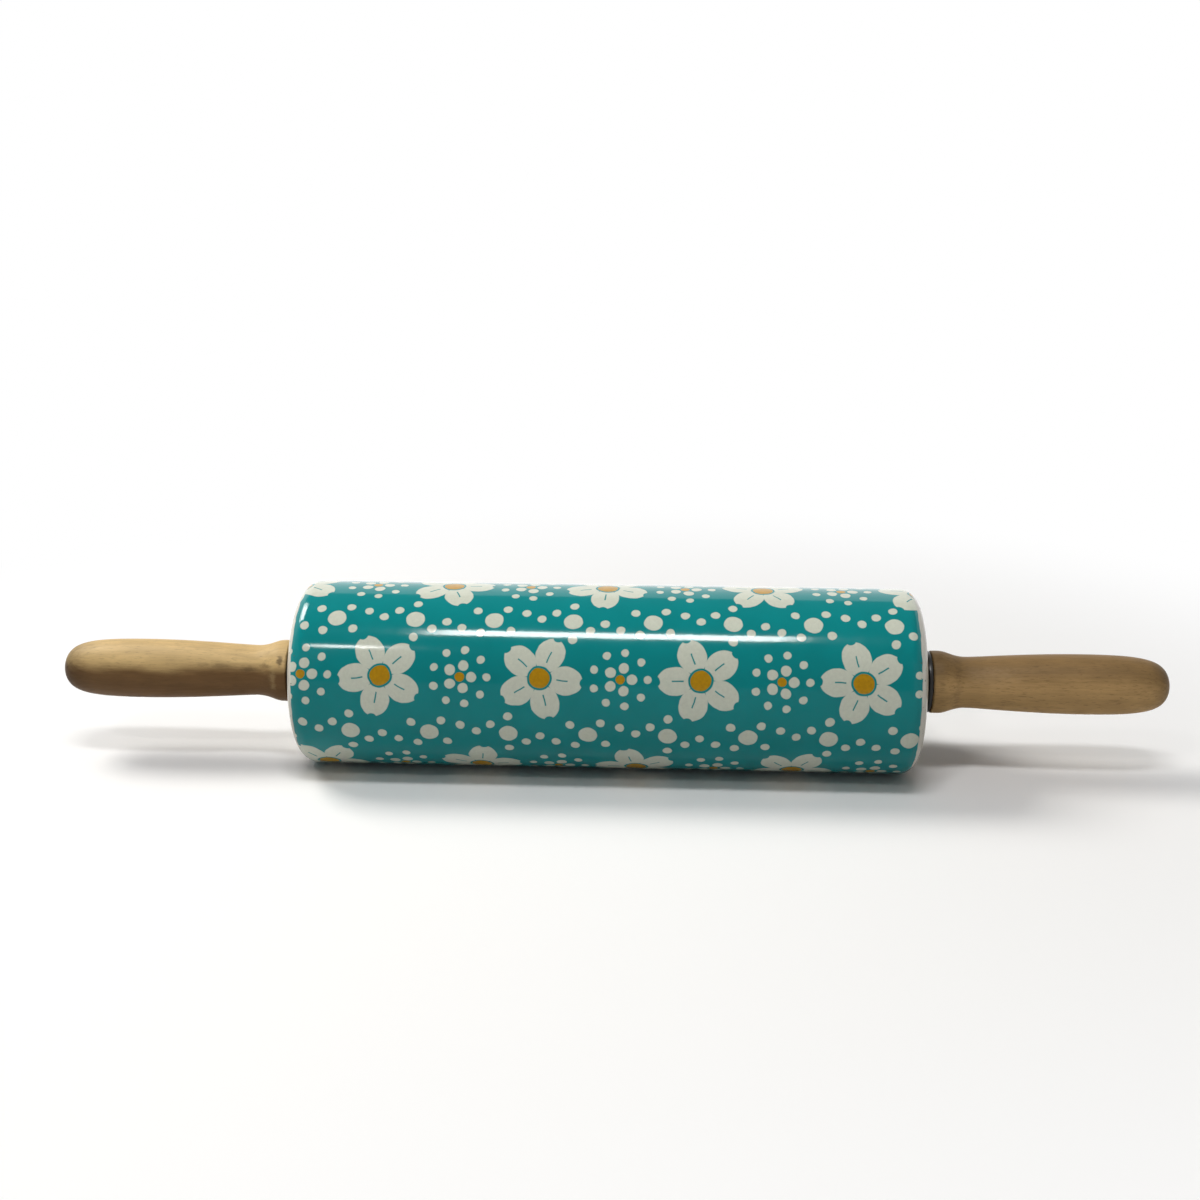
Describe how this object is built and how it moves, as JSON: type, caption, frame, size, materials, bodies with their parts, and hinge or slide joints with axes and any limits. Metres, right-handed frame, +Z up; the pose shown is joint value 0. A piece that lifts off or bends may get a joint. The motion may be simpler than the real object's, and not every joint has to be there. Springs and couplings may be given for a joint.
{
  "type": "rolling pin",
  "caption": "Rolling pin with a glazed, printed ceramic barrel that turns on a steel axle between turned wooden handles.",
  "frame": {"origin": "on the axle's axis, at the middle of the barrel", "axes": "+X along the axle towards the right handle, +Z up, with the barrel lying on a worktop"},
  "size_m": [0.4218, 0.0698, 0.0698],
  "materials": {
    "glazed_ceramic": "teal, white and ochre print under a clear gloss glaze",
    "turned_wood": "pale hardwood, sanded and oiled",
    "bush_plastic": "moulded, near black",
    "washer_plastic": "smooth, near black",
    "axle_steel": "drawn bright bar",
    "insert_brass": "turned"
  },
  "bodies": {
    "roller": {"barrel": "glazed_ceramic", "left_end_bush": "bush_plastic", "right_end_bush": "bush_plastic"},
    "washers": {"left_thrust_washer": "washer_plastic", "right_thrust_washer": "washer_plastic"},
    "handles": {"axle_rod": "axle_steel", "left_threaded_insert": "insert_brass", "right_threaded_insert": "insert_brass", "left_handle": "turned_wood", "right_handle": "turned_wood"}
  },
  "joints": [
    {"name": "end_float", "type": "slide", "parent": "roller", "child": "washers", "axis": [1, 0, 0], "range_m": [-0.0006, 0.0006]},
    {"name": "roll", "type": "hinge", "parent": "washers", "child": "handles", "pos_m": [0, 0, 0], "axis": [1, 0, 0], "continuous": true}
  ]
}
